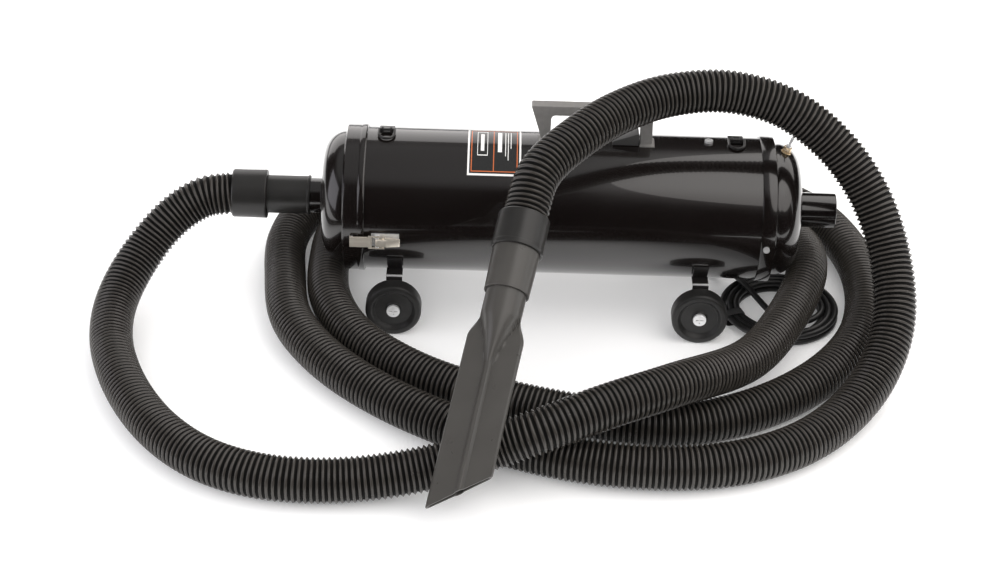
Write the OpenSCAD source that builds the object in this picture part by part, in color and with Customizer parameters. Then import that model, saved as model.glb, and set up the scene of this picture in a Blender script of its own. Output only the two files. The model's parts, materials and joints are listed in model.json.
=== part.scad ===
// Portable pet dryer: a horizontal steel canister blower on four small wheels,
// with a handle, draw latches, a corrugated hose and a crevice nozzle.
// X runs along the canister, Z is up, the floor is z = 0.

/* [Canister] */
// Outer radius of the rolled steel casing
casing_r = 76; // [74:0.5:78]
// Height of the canister axis above the floor
axis_h = 114; // [112:1:120]
// Half the distance between the outer edges of the two cap skirts
cap_edge = 226; // [222:1:230]
// Sheet thickness of the casing
sheet_t = 1.5; // [1:0.1:2]

/* [End caps] */
// Outer radius of a cap skirt
skirt_r = 78; // [77.5:0.1:79]
// Depth of a cap skirt over the casing
skirt_depth = 22; // [18:1:24]
// Outer radius of the drawn dome
dome_r = 70.5; // [69:0.5:72]
// Radius of the rounded corner of the dome
dome_corner = 24.5; // [20:0.5:26]
// Straight height of the dome before its rounded corner
dome_rise = 5; // [4:0.5:6]
// Sheet thickness of a cap
cap_t = 1.6; // [1.2:0.1:2]

/* [Ports] */
// Outer radius of the inlet and outlet tubes
port_r = 18.5; // [18:0.1:19]
// Inner radius of the inlet and outlet tubes
port_bore_r = 16.9; // [16:0.1:17.2]
// Distance from the canister's middle to the end of each port
port_end = 296; // [290:1:300]

/* [Handle] */
// Height of the centre of the grip above the canister axis
grip_rise = 113.5; // [110:0.5:116]
// Thickness of the handle casting
handle_w = 13; // [12:1:15]

/* [Wheels] */
// Wheel radius
wheel_r = 29.6; // [28:0.1:30]
// Wheel width
wheel_w = 19; // [17:1:20]
// Distance of a wheel's outer face from the middle plane
wheel_out = 94.2; // [93:0.1:96]
// Place of the left wheels along the canister
wheel_left_x = -172; // [-176:1:-168]
// Place of the right wheels along the canister
wheel_right_x = 152; // [148:1:156]
// Radius of the axle screw
axle_r = 3.1; // [3:0.1:3.2]

/* [Switch] */
// Lean of the toggle switch away from vertical, toward the outlet
switch_lean = 16; // [14:1:18]

/* [Hose and nozzle] */
// Outside diameter of the corrugated hose
hose_d = 45; // [44:0.5:45]
// Bore radius of the hose
hose_bore_r = 20; // [19:0.1:20.5]
// Heading of the nozzle seen from above, counted from +X
nozzle_heading = -103.5; // [-105:0.5:-102]
// Slope of the nozzle below level
nozzle_slope = 34.5; // [34:0.5:35]

/* [Power cord] */
// Diameter of the power cord
cord_d = 7; // [6.5:0.1:7]

/* [Hidden] */
$fn = 72;
far = 400;                       // longer than anything that is cut
slip = 0.05;                     // clearance of parts that slide into each other
casing_end = cap_edge - 3.6;     // the casing stops inside the cap's shoulder
bore_r = casing_r - sheet_t;     // inside of the casing
skirt_bore = casing_r + 0.3;     // the skirt slips over the casing

shaft_r = 4;
fan_x = -5;                      // front of the fan shell
plate_x = 53;                    // front of the fan back plate
frame_end = 147;                 // rear of the motor frame
core_x = [84, 118];              // ends of the laminated core
bolt_y = 53;                     // through bolts beside the motor frame

latch_front = 185;               // angle round the casing of the front latch
latch_rear = -5;
pivot_x = -189.5;                // lever pivot of a latch
pivot_z = 4.8;
bail_x = pivot_x + 6;            // bail pivot of a latch
bail_z = pivot_z + 0.8;

ring_places = [-184, 185];       // strap brackets along the casing
ring_angle = 80;
ring_y = -8;                     // pin of a strap ring in its bracket
ring_z = 3.2;

bracket_y = wheel_out - wheel_w - 0.7;   // outer side of a wheel bracket
bracket_w = 17;
bracket_t = 2.5;

relief_x = 70;                   // strain relief on the rear of the casing
relief_angle = -25;
relief_len = 26;
relief_base = casing_r + 0.1;
relief_tip_r = relief_base + relief_len;

coil_centre = [243, -32];        // coil of cord on the floor
coil_out = 64;
coil_in = 43;
coil_h = 2 * cord_d;

adapter_x = -311;
cuff_x = -348;
nozzle_top = [-38.8, -193.6, 209.2];
cuff_len = 38;
reducer_len = 45; // [42:1:50]
neck_start = 48; // [46:1:52]
blade_start = 133; // [130:1:136]
blade_half = 28;

// route of the hose, from the cuff at the inlet to the cuff of the nozzle
hose_route = [[-348, 0, 114], [-379, -3, 109], [-411, -15, 91], [-443, -43, 60], [-463, -91, 34],
    [-461, -154, 23.6], [-433, -239, 22.6], [-389, -311, 22.6], [-339, -356, 22.6],
    [-279, -379, 22.6], [-202, -381, 23.6], [-112, -367, 34], [-60, -355, 50],
    [-16, -348, 65], [44, -321, 75], [111, -279, 73], [197, -188, 47], [252, -74, 38.5],
    [273, -4, 39], [273, 54, 34], [247, 112, 24], [198, 149, 22.6], [120, 160, 22.6],
    [-28, 160, 22.6], [-138, 152, 22.6], [-204, 130, 22.6], [-240, 80, 22.6], [-247, 18, 22.6],
    [-241, -58, 22.6], [-212, -128, 22.6], [-160, -184, 22.6], [-92, -226, 22.6],
    [25, -264, 22.6], [105, -275, 22.6], [168, -260, 22.6], [231, -222, 22.6],
    [286, -165, 22.6], [322, -98, 22.6], [337, -12, 22.6], [328, 70, 22.6],
    [300, 138, 22.6], [250, 186, 22.6], [183, 208, 22.6], [70, 212, 22.6], [-80, 210, 22.6],
    [-176, 196, 22.6], [-239, 165, 22.6], [-280, 117, 22.6], [-296, 58, 22.6],
    [-293, -15, 22.6], [-278, -104, 22.6], [-234, -180, 22.6], [-168, -245, 22.6],
    [-83, -299, 22.6], [13, -336, 22.6], [105, -346, 22.6], [177, -334, 22.6],
    [238, -302, 22.6], [291, -249, 26], [328, -194, 42], [346, -147, 73], [343, -101, 117],
    [321, -63, 169], [280, -36, 216], [229, -23, 249], [169, -20, 264], [108, -32, 264],
    [58, -62, 260], [14, -106, 253], [-25, -154, 237], [-38.8, -193.6, 209.2]];

// route of the power cord from the strain relief to the coil, and from the coil to the plug
relief_tip = [relief_x, relief_tip_r * cos(relief_angle), axis_h + relief_tip_r * sin(relief_angle)];
lead_route = [relief_tip, relief_tip + [0, 9, -4], [71, 117, 63], [72, 124, 46], [74, 122, 28],
    [79, 113, 13], [88, 100, 5], [102, 86, 3.6], [122, 66, 3.6], [150, 52, 3.6],
    [174, 44, 3.6], [185, 37, 8], [194, 26, 15.5], [202, 11, 17.9], [213, -12, 17.9],
    [222, -31, 16], [234, -50, 13], [249, -66, 11]];
tail_route = [[239, 36, 3.6], [227, 37, 3.6], [216, 42, 4.5], [208, 50, 7], [205, 57, 9.5],
    [204, 61, 11]];
plug_dir = [-0.16, 0.98];        // heading of the plug on the floor

function unit(v) = v / norm(v);
function heading(p, i) = unit(p[min(i + 1, len(p) - 1)] - p[max(i - 1, 0)]);
function side(t) = unit(cross(t, [0, 0, 1]));
function ring_at(c, t, r, n) = let (u = side(t), v = cross(u, t))
    [for (k = [0:n - 1]) c + r * (cos(360 * k / n) * u + sin(360 * k / n) * v)];

// a closed tube swept along a route
module swept(route, r, n, first, last) {
    m = len(route);
    pts = [for (i = [0:m - 1]) each ring_at(route[i],
        i == 0 ? first : i == m - 1 ? last : heading(route, i), r, n)];
    walls = [for (i = [0:m - 2], k = [0:n - 1]) let (k2 = (k + 1) % n)
        [i * n + k, i * n + k2, (i + 1) * n + k2, (i + 1) * n + k]];
    ends = [[for (k = [0:n - 1]) n - 1 - k], [for (k = [0:n - 1]) (m - 1) * n + k]];
    polyhedron(points = pts, faces = concat(walls, ends));
}

// a hollow tube swept along a route, as one closed surface
module swept_tube(route, r_out, r_in, n, first, last) {
    m = len(route);
    t = [for (i = [0:m - 1]) i == 0 ? first : i == m - 1 ? last : heading(route, i)];
    pts = [for (r = [r_out, r_in], i = [0:m - 1]) each ring_at(route[i], t[i], r, n)];
    h = m * n;
    walls = [for (i = [0:m - 2], k = [0:n - 1]) let (k2 = (k + 1) % n) each
        [[i * n + k, i * n + k2, (i + 1) * n + k2, (i + 1) * n + k],
        [h + (i + 1) * n + k, h + (i + 1) * n + k2, h + i * n + k2, h + i * n + k]]];
    ends = [for (k = [0:n - 1]) let (k2 = (k + 1) % n, e = (m - 1) * n) each
        [[k, h + k, h + k2, k2], [e + k, e + k2, h + e + k2, h + e + k]]];
    polyhedron(points = pts, faces = concat(walls, ends));
}

// places a child whose own Z becomes the canister's axis direction
module along_x(x) translate([x, 0, axis_h]) rotate([0, 90, 0]) children();

module ring_x(x0, x1, r_out, r_in) along_x(x0) difference() {
    cylinder(h = x1 - x0, r = r_out);
    translate([0, 0, -1]) cylinder(h = x1 - x0 + 2, r = r_in);
}

// places a child on the canister: its Z points straight out at that angle round X
module outward(x, angle, r = casing_r)
    translate([x, r * cos(angle), axis_h + r * sin(angle)]) rotate([angle - 90, 0, 0]) children();

// part of a sleeve round the canister, from one angle to another
module sleeve_arc(x0, x1, r_out, r_in, from, to)
    along_x(x0) rotate([0, 0, from + 90]) rotate_extrude(angle = to - from)
        translate([r_in, 0]) square([r_out - r_in, x1 - x0]);

// places a child on the nozzle's line: its Z runs down the nozzle from the top of the cuff
module on_nozzle(s) translate(nozzle_top) rotate([0, 90 + nozzle_slope, nozzle_heading])
    translate([0, 0, s]) children();

nozzle_dir = [cos(nozzle_slope) * cos(nozzle_heading), cos(nozzle_slope) * sin(nozzle_heading),
    -sin(nozzle_slope)];

module dome_solid(inset, dome_rise) {
    cylinder(h = dome_rise, r = dome_r - inset);
    translate([0, 0, dome_rise]) rotate_extrude() translate([dome_r - dome_corner, 0])
        circle(r = dome_corner - inset);
    cylinder(h = dome_rise + dome_corner - inset, r = dome_r - dome_corner);
}

// a drawn cap in its own frame: Z points out of the canister, 0 is the edge of its skirt
module drawn_cap(rise) difference() {
    union() {
        rotate_extrude() polygon([[0, -skirt_depth], [skirt_r, -skirt_depth],
            [skirt_r + 0.8, -skirt_depth + 1], [skirt_r + 0.8, -skirt_depth + 6],
            [skirt_r, -skirt_depth + 7], [skirt_r, -1.2], [skirt_r - 1.2, 0], [0, 0]]);
        dome_solid(0, rise);
        cylinder(h = rise + dome_corner + 1.7, r = port_r + 2);
    }
    translate([0, 0, -skirt_depth - 1]) cylinder(h = skirt_depth + 1 - cap_t, r = skirt_bore);
    translate([0, 0, -2]) dome_solid(cap_t, rise);
    dome_solid(cap_t, rise);
    cylinder(h = far, r = port_r + slip);
}

module casing() color([0.03, 0.03, 0.03]) difference() {
    ring_x(-casing_end, casing_end, casing_r, bore_r);
    outward(relief_x, relief_angle, casing_r - 5) cylinder(h = 10, r = 5.05);
    for (x = [-16.5, 89]) outward(x, 90, casing_r - 5) cylinder(h = 10, r = 2.6);
    for (a = [86, 240, 300]) outward(156, a, casing_r - 5) cylinder(h = 10, r = 2.1);
    for (a = [-3, 183]) outward(217, a, casing_r - 5) cylinder(h = 10, r = 2.1);
}

module intake_cap() color([0.03, 0.03, 0.03]) mirror([1, 0, 0]) along_x(cap_edge)
    drawn_cap(dome_rise - 4.5);

module exhaust_cap() color([0.03, 0.03, 0.03]) difference() {
    along_x(cap_edge) drawn_cap(dome_rise);
    on_switch() translate([0, 0, -8]) cylinder(h = 16, r = 3.2);
    for (a = [-3, 183]) outward(217, a, casing_r - 5) cylinder(h = 10, r = 2.1);
}

module cap_gaskets() color([0.1, 0.1, 0.1]) for (s = [0, 1]) mirror([s, 0, 0])
    ring_x(casing_end + slip, cap_edge - cap_t - slip, casing_r, 71.5);

module port_tube(less) difference() {
    union() {
        cylinder(h = 14, r = port_r - 0.2 - less);
        translate([0, 0, 13.2]) cylinder(h = port_end - cap_edge - 31.2, r = port_r - less);
    }
    translate([0, 0, -1]) cylinder(h = far, r = port_bore_r);
}
module inlet_tube() color([0.04, 0.04, 0.04]) mirror([1, 0, 0]) along_x(cap_edge + 18) port_tube(0.3);
module outlet_tube() color([0.04, 0.04, 0.04]) along_x(cap_edge + 18) port_tube(0);

// cone of filter cloth on a stiff ring, open toward the inlet
module filter_bag() color([0.8, 0.8, 0.76]) {
    ring_x(-214, -206, bore_r - 0.3, 66);
    along_x(-206) difference() {
        cylinder(h = 96, r1 = 68, r2 = 34);
        translate([0, 0, -0.01]) cylinder(h = 93.5, r1 = 65.8, r2 = 32);
    }
}

module motor_mounts() color([0.12, 0.12, 0.12]) {
    ring_x(fan_x + 8, fan_x + 22, bore_r - 0.1, 68.1);
    ring_x(plate_x + 3.1, plate_x + 9, 67.9, 58);
    ring_x(frame_end + 3.1, frame_end + 9.5, 24, 15.1);
}
module mount_plate() color([0.6, 0.6, 0.62]) ring_x(plate_x + 9.1, plate_x + 11.1, bore_r - 0.1, 58);
module rear_support() color([0.6, 0.6, 0.62]) difference() {
    union() {
        ring_x(150, 162, bore_r - 0.1, bore_r - 2.1);
        ring_x(150, 152, bore_r - 0.1, 24.1);
    }
    for (a = [0:60:300]) outward_vent(a);
    for (a = [86, 240, 300]) outward(156, a, casing_r - 8) cylinder(h = 10, r = 1.6);
}
module outward_vent(a) along_x(148) rotate([0, 0, a]) translate([49, 0, 0]) cylinder(h = 6, r = 15);

module fan_shell() color([0.7, 0.7, 0.72]) difference() {
    ring_x(fan_x, plate_x - 0.1, 68, 24);
    along_x(fan_x + 1.2) cylinder(h = far, r = 66.8);
}

// two discs with six blades between them, on a hub
module impeller(x) color([0.75, 0.75, 0.78]) difference() {
    union() {
        ring_x(x, x + 1, 62, 22);
        ring_x(x + 11, x + 12, 62, shaft_r);
        ring_x(x + 3, x + 12, 9, shaft_r);
        along_x(x + 0.5) for (a = [0:60:300]) rotate([0, 0, a]) translate([24, 0, 0])
            rotate([0, 0, 32]) translate([0, -0.6, 0]) cube([40, 1.2, 11]);
    }
    along_x(x - 1) cylinder(h = 20, r = shaft_r + 0.02);
    along_x(x - 1) difference() {
        cylinder(h = 20, r = 80);
        translate([0, 0, -1]) cylinder(h = 22, r = 62);
    }
}
module impeller_first() impeller(fan_x + 5);
module impeller_second() impeller(fan_x + 33);
module diffuser_plate() color([0.65, 0.65, 0.68]) difference() {
    union() {
        ring_x(fan_x + 24, fan_x + 26, 66.75, 20);
        along_x(fan_x + 20) for (a = [0:40:320]) rotate([0, 0, a]) translate([63.2, 0, 0])
            rotate([0, 0, 50]) translate([0, -0.6, 0]) cube([4, 1.2, 5]);
    }
    along_x(fan_x) difference() {
        cylinder(h = 60, r = 90);
        translate([0, 0, -1]) cylinder(h = 62, r = 66.75);
    }
}

module bolt_holes() for (s = [-1, 1]) along_x(0) translate([0, s * bolt_y, 0])
    cylinder(h = far, r = 2.1);

module fan_back_plate() color([0.7, 0.7, 0.72]) difference() {
    union() {
        ring_x(plate_x, plate_x + 3, 68, 11.02);
        ring_x(plate_x, plate_x + 8, 16, 11.02);
    }
    bolt_holes();
    for (a = [0:45:315]) along_x(plate_x - 1) rotate([0, 0, a + 22.5]) translate([36, 0, 0])
        cylinder(h = 6, r = 7);
}

module motor_frame() color([0.72, 0.72, 0.74]) difference() {
    union() {
        ring_x(plate_x + 3, frame_end, 48, 45.4);
        ring_x(frame_end - 4, frame_end, 48, 11.02);
        ring_x(frame_end - 4, frame_end + 4, 15, 11.02);
        for (s = [0, 1]) mirror([0, s, 0])
            translate([frame_end - 4, 40, axis_h - 7]) cube([4, 19, 14]);
    }
    bolt_holes();
    for (a = [45:90:315]) along_x(frame_end - 30) rotate([0, 0, a]) translate([30, -11, 0])
        cube([30, 22, 20]);
    for (a = [45:90:315]) along_x(plate_x + 10) rotate([0, 0, a]) translate([30, -11, 0])
        cube([30, 22, 16]);
}

module stator_core() color([0.4, 0.42, 0.45]) ring_x(core_x[0], core_x[1], 45.3, 28);
module field_coils() color([0.72, 0.36, 0.12]) for (x = [core_x[0] - 9, core_x[1] + 0.1], a = [40, 220])
    along_x(x) rotate([0, 0, a]) rotate_extrude(angle = 100) translate([30, 0]) square([12, 8.9]);
module armature() color([0.7, 0.38, 0.15]) difference() {
    union() {
        ring_x(core_x[0], core_x[1], 27.4, shaft_r);
        ring_x(core_x[0] - 8, core_x[1] + 7, 22, shaft_r);
    }
    along_x(0) cylinder(h = far, r = shaft_r + 0.02);
}
module commutator() color([0.8, 0.5, 0.25]) ring_x(128, 141, 13, shaft_r + 0.02);
module motor_shaft() color([0.8, 0.8, 0.82]) ring_x(fan_x + 2, frame_end + 3, shaft_r, 0.5);
module shaft_bearings() color([0.75, 0.76, 0.78]) {
    ring_x(plate_x + 0.5, plate_x + 7.5, 11, shaft_r + 0.03);
    ring_x(frame_end - 3.5, frame_end + 3.5, 11, shaft_r + 0.03);
}
module brush_holders() color([0.75, 0.6, 0.25]) for (s = [-1, 1])
    translate([134.5, 0, axis_h + s * 31]) difference() {
        cube([9, 11, 28], center = true);
        cube([6.2, 8.2, 30], center = true);
    }
module carbon_brushes() color([0.15, 0.15, 0.16]) for (s = [-1, 1])
    translate([134.5, 0, axis_h + s * 27.6]) cube([6, 8, 28.8], center = true);
module through_bolts() color([0.75, 0.75, 0.78]) for (s = [-1, 1])
    along_x(plate_x - 4) translate([0, s * bolt_y, 0]) {
        cylinder(h = frame_end - plate_x + 6, r = 2);
        cylinder(h = 3.9, r = 4, $fn = 6);
        translate([0, 0, frame_end - plate_x + 4.1]) cylinder(h = 2.6, r = 4);
    }

// side outline of the casting, swept across its width; the legs end on the casing
module handle() color([0.33, 0.33, 0.33]) difference() {
    union() {
        translate([0, handle_w / 2, axis_h]) rotate([90, 0, 0]) linear_extrude(handle_w)
            polygon([[-33, grip_rise + 7.5], [-31, grip_rise + 8.5], [92, grip_rise + 8.5],
                [96, grip_rise + 5], [95, grip_rise - 10], [95.5, 70], [82.5, 70],
                [81.5, grip_rise - 5.5], [-11.5, grip_rise - 5.5], [-12, 70], [-20.5, 70],
                [-23.5, 88]]);
        for (x = [[-24, -9], [82.2, 98]]) translate([x[0], -8, axis_h + 65])
            cube([x[1] - x[0], 16, 12.5]);
    }
    along_x(-100) cylinder(h = far, r = casing_r + 0.1);
    for (x = [-16.5, 89]) translate([x, 0, axis_h + 60]) cylinder(h = 36, r = 2.55);
}
module handle_fairing() color([0.08, 0.08, 0.08]) difference() {
    translate([0, 7.8, axis_h]) rotate([90, 0, 0]) linear_extrude(15.6)
        polygon([[54, 60], [54, 80.5], [81.3, 90], [81.3, 60]]);
    along_x(-100) cylinder(h = far, r = casing_r + 0.1);
}
module handle_screws() color([0.7, 0.7, 0.72]) for (x = [-16.5, 89])
    translate([x, 0, axis_h + casing_r - sheet_t - 3.6]) {
        cylinder(h = 24, r = 2.5);
        cylinder(h = 3.2, r = 4.6);
    }

// the switch stands square on the dome of the outlet cap
module on_switch() translate([cap_edge + dome_rise + dome_corner * sin(switch_lean), 0,
    axis_h + dome_r - dome_corner + dome_corner * cos(switch_lean)])
    rotate([0, switch_lean, 0]) children();
switch_pivot = 6.2;
module switch_body() color([0.75, 0.76, 0.78]) on_switch() difference() {
    union() {
        translate([-6.5, -13, -25]) cube([13, 26, 20.4]);
        translate([0, 0, -4.7]) cylinder(h = 13.3, r = 3.1);
    }
    translate([0, 0, 3.4]) cylinder(h = 20, r = 2.1);
}
module switch_nut() color([0.72, 0.55, 0.2]) on_switch() difference() {
    union() {
        translate([0, 0, 0.1]) cylinder(h = 0.8, r = 5.6);
        translate([0, 0, 0.9]) cylinder(h = 2.4, r = 4.7, $fn = 6);
        translate([0, 0, 4.4]) cylinder(h = 2.4, r = 4.7, $fn = 6);
    }
    translate([0, 0, -1]) cylinder(h = 20, r = 3.15);
}
module switch_lever() color([0.85, 0.85, 0.87]) on_switch()
    translate([0, 0, switch_pivot]) rotate([12, 0, 0]) {
    sphere(r = 1.8);
    rotate([0, 90, 0]) cylinder(h = 3.9, r = 0.9, center = true);
    cylinder(h = 13, r1 = 1.1, r2 = 2);
    translate([0, 0, 13]) sphere(r = 2);
}

// a folded plate with two lugs that hold the ring's pin
module strap_brackets() color([0.05, 0.05, 0.05]) for (x = ring_places) outward(x, ring_angle) {
    translate([-8, -6, 0.1]) cube([16, 16, 1.4]);
    translate([-5.7, -11, 0.1]) cube([11.4, 6, 1.4]);
    for (s = [-1, 1]) translate([s * 4.5 - 1.2, ring_y, ring_z]) rotate([0, 90, 0]) difference() {
        union() {
            cylinder(h = 2.4, r = 2.9);
            translate([0, -2.9, 0]) cube([ring_z - 0.1, 5.8, 2.4]);
        }
        translate([0, 0, -1]) cylinder(h = 5, r = 1.55);
    }
}
// D ring: a straight pin, two legs and a round bow
module strap_ring(x) color([0.1, 0.1, 0.1]) outward(x, ring_angle) translate([0, ring_y, ring_z])
    rotate([16, 0, 0]) {
        translate([-8, 0, 0]) rotate([0, 90, 0]) cylinder(h = 16, r = 1.5);
        for (s = [-1, 1]) translate([s * 8, 0, 0]) {
            sphere(r = 1.5);
            rotate([90, 0, 0]) cylinder(h = 8, r = 1.5);
        }
        translate([0, -8, 0]) rotate([0, 0, 180]) rotate_extrude(angle = 180)
            translate([8, 0]) circle(r = 1.5);
    }
module strap_ring_left() strap_ring(ring_places[0]);
module strap_ring_right() strap_ring(ring_places[1]);

// draw latch: base with two ears, its pin, two rivets
module latch_bases() color([0.7, 0.7, 0.68]) for (a = [latch_front, latch_rear]) outward(0, a) {
    translate([-196, -7.6, 0.1]) cube([29, 15.2, 1.1]);
    for (s = [-1, 1]) translate([pivot_x, s * 5.6 + 0.5, pivot_z]) rotate([90, 0, 0]) {
        cylinder(h = 1, r = 2.4);
        translate([-2.4, -pivot_z + 0.2, 0]) cube([4.8, pivot_z - 0.2, 1]);
    }
    translate([pivot_x, 6.1, pivot_z]) rotate([90, 0, 0]) cylinder(h = 12.2, r = 1);
}
module latch_keepers() color([0.7, 0.7, 0.68]) for (a = [latch_front, latch_rear])
    outward(0, a) translate([-217, -5, 2.2]) difference() {
        cube([5.4, 10, 2.8]);
        translate([1.4, -1, -1]) cube([5, 12, 2.4]);
    }
module latch_lever(a) color([0.85, 0.84, 0.8]) outward(0, a) difference() {
    translate([0, 4.8, 0]) rotate([90, 0, 0]) linear_extrude(9.6) union() {
        translate([pivot_x, pivot_z]) circle(r = 3.1);
        polygon([[pivot_x, 1.9], [-176, 2.6], [-166, 4.6], [-165.6, 6], [-180, 8],
            [pivot_x, 7.9]]);
    }
    translate([pivot_x, 20, pivot_z]) rotate([90, 0, 0]) cylinder(h = 40, r = 1.05);
    translate([bail_x, 20, bail_z]) rotate([90, 0, 0]) cylinder(h = 40, r = 1.05);
}
module latch_bail(a) color([0.85, 0.84, 0.8]) outward(0, a) {
    translate([bail_x, 7.8, bail_z]) rotate([90, 0, 0]) cylinder(h = 15.6, r = 1);
    for (s = [-1, 1]) translate([-198, s * 7.1 - 0.7, bail_z - 0.4])
        cube([bail_x + 1.4 + 198, 1.4, 1.8]);
    translate([-199, -7.8, bail_z - 0.4]) cube([4, 15.6, 1.6]);
    translate([-218.6, -6, bail_z - 0.4]) cube([20, 12, 1.6]);
    translate([-218.6, -6, 3]) cube([1.3, 12, 3]);
}
module latch_front_lever() latch_lever(latch_front);
module latch_front_bail() latch_bail(latch_front);
module latch_rear_lever() latch_lever(latch_rear);
module latch_rear_bail() latch_bail(latch_rear);

// welded saddle, ledge and leg of one wheel bracket, on the front side
module wheel_bracket(x) {
    sleeve_arc(x - bracket_w / 2 + 0.8, x + bracket_w / 2 - 0.8, casing_r + 2, casing_r + 0.1,
        206, 224.5);
    difference() {
        union() {
            translate([x - bracket_w / 2, -bracket_y, 58.6])
                cube([bracket_w, bracket_y - 56.4, bracket_t]);
            translate([x - bracket_w / 2, -bracket_y, wheel_r - 9])
                cube([bracket_w, bracket_t, 58.6 + bracket_t - wheel_r + 9]);
        }
        translate([x, -80, wheel_r]) rotate([-90, 0, 0]) cylinder(h = 20, r = axle_r + 0.02);
    }
}
module wheel_brackets() color([0.05, 0.05, 0.05]) for (x = [wheel_left_x, wheel_right_x], s = [0, 1])
    mirror([0, s, 0]) wheel_bracket(x);

// solid wheel with a dished outer face, in its own frame: Z is the axle, 0 the outer face
module wheel_form() rotate_extrude() polygon([[axle_r + 0.05, 3.2], [7.5, 3.2], [9, 4.6],
    [19.5, 4.6], [22, 1.2], [23.5, 0], [wheel_r - 2.6, 0], [wheel_r - 0.8, 0.8], [wheel_r, 2.6],
    [wheel_r, wheel_w - 2.6], [wheel_r - 0.8, wheel_w - 0.8], [wheel_r - 2.6, wheel_w],
    [axle_r + 0.05, wheel_w]]);
module wheel(x, s) color([0.07, 0.07, 0.07]) mirror([0, s, 0])
    translate([x, -wheel_out, wheel_r]) rotate([-90, 0, 0]) wheel_form();
module wheel_front_left() wheel(wheel_left_x, 0);
module wheel_front_right() wheel(wheel_right_x, 0);
module wheel_rear_left() wheel(wheel_left_x, 1);
module wheel_rear_right() wheel(wheel_right_x, 1);

// cross-recessed pan head in its own frame: Z points out of the head
module pan_head(r, h) difference() {
    cylinder(h = h, r = r);
    for (a = [0, 90]) rotate([0, 0, a]) translate([-r * 0.6, -0.7, h - 1.4])
        cube([r * 1.2, 1.4, 2]);
}
module axle_screws() color([0.8, 0.8, 0.82]) for (x = [wheel_left_x, wheel_right_x], s = [0, 1])
    mirror([0, s, 0]) translate([x, -wheel_out + 2.9, wheel_r]) rotate([90, 0, 0]) {
        pan_head(7, 2.8);
        translate([0, 0, -24.2]) cylinder(h = 24.7, r = axle_r);
        translate([0, 0, -24.2]) cylinder(h = 4.6, r = 5.8, $fn = 6);
    }
module casing_screws() color([0.85, 0.85, 0.87]) {
    for (a = [86, 240, 300]) outward(156, a) {
        translate([0, 0, 0.1]) pan_head(4.4, 2.4);
        translate([0, 0, -3.4]) cylinder(h = 3.8, r = 1.5);
    }
    for (a = [-3, 183]) outward(217, a, skirt_r) {
        translate([0, 0, 0.1]) pan_head(3.4, 2);
        translate([0, 0, -6]) cylinder(h = 6.4, r = 2);
    }
}

module label_plate() color([0.75, 0.3, 0.12])
    sleeve_arc(-98, -42, casing_r + 0.4, casing_r + 0.1, 73, 130);

// tapered strain relief on the rear of the casing
module strain_relief() color([0.06, 0.06, 0.06]) outward(relief_x, relief_angle, relief_base) {
    cylinder(h = 3.4, r = 9);
    translate([0, 0, -4.6]) cylinder(h = 5, r = 5);
    translate([0, 0, 3.4]) cylinder(h = relief_len - 3.4, r1 = 6.4, r2 = cord_d / 2 + 0.7);
}
module cord_lead() color([0.05, 0.05, 0.05]) swept(lead_route, cord_d / 2, 8,
    [0, cos(relief_angle), sin(relief_angle)], heading(lead_route, len(lead_route) - 1));
module cord_coil() color([0.05, 0.05, 0.05]) translate(coil_centre) difference() {
    cylinder(h = coil_h, r = coil_out);
    translate([0, 0, -1]) cylinder(h = coil_h + 2, r = coil_in);
}
module cord_tail() color([0.05, 0.05, 0.05]) swept(tail_route, cord_d / 2, 8,
    [-1, 0, 0], unit([plug_dir[0], plug_dir[1], 0]));

// three-pin plug lying on the floor, in its own frame: Y points at the blades
module on_plug() translate([204, 61, 11])
    rotate([0, 0, atan2(plug_dir[1], plug_dir[0]) - 90]) children();
module plug_body() color([0.06, 0.06, 0.06]) on_plug() {
    rotate([-90, 0, 0]) cylinder(h = 12, r1 = 5.5, r2 = 9);
    translate([0, 12, 0]) rotate([-90, 0, 0]) cylinder(h = 18, r = 11);
    translate([-11, 12, -10.9]) cube([22, 18, 10.9]);
}
module plug_blades() color([0.75, 0.75, 0.72]) on_plug() {
    for (x = [-6.35, 6.35]) translate([x - 0.75, 30, -1]) cube([1.5, 15.9, 6.4]);
    translate([0, 30, -5.5]) rotate([-90, 0, 0]) cylinder(h = 17, r = 2.4);
}

module hose_adapter() color([0.09, 0.09, 0.09]) difference() {
    union() {
        ring_x(adapter_x - 14, -265, 20.3, 17.2);
        ring_x(-267.5, -265, 21.2, 17.2);
    }
    along_x(-296.5) cylinder(h = 40, r = port_r + slip);
}
module hose_cuff() color([0.09, 0.09, 0.09]) difference() {
    union() {
        ring_x(cuff_x, adapter_x, 25.4, 16);
        ring_x(adapter_x - 4, adapter_x, 26, 16);
    }
    along_x(adapter_x - 14.1) cylinder(h = 40, r = 20.3 + slip);
}
module hose() color([0.06, 0.06, 0.06]) swept_tube(hose_route, hose_d / 2,
    hose_bore_r, 10, [-1, 0, 0], nozzle_dir);

module nozzle_cuff() color([0.22, 0.22, 0.22]) difference() {
    on_nozzle(0) cylinder(h = cuff_len, r = 26);
    on_nozzle(cuff_len - 16) cylinder(h = 40, r = 23.9 + slip);
    on_nozzle(-1) cylinder(h = 60, r = 16);
}
module nozzle_adapter() color([0.22, 0.22, 0.22]) difference() {
    union() {
        on_nozzle(cuff_len - 15.9) cylinder(h = reducer_len + 15.9, r = 23.9);
        on_nozzle(cuff_len + reducer_len - 9) cylinder(h = 9, r = 25);
    }
    on_nozzle(neck_start) cylinder(h = 60, r = 20 + slip);
    on_nozzle(0) cylinder(h = 70, r = 16);
}
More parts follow.
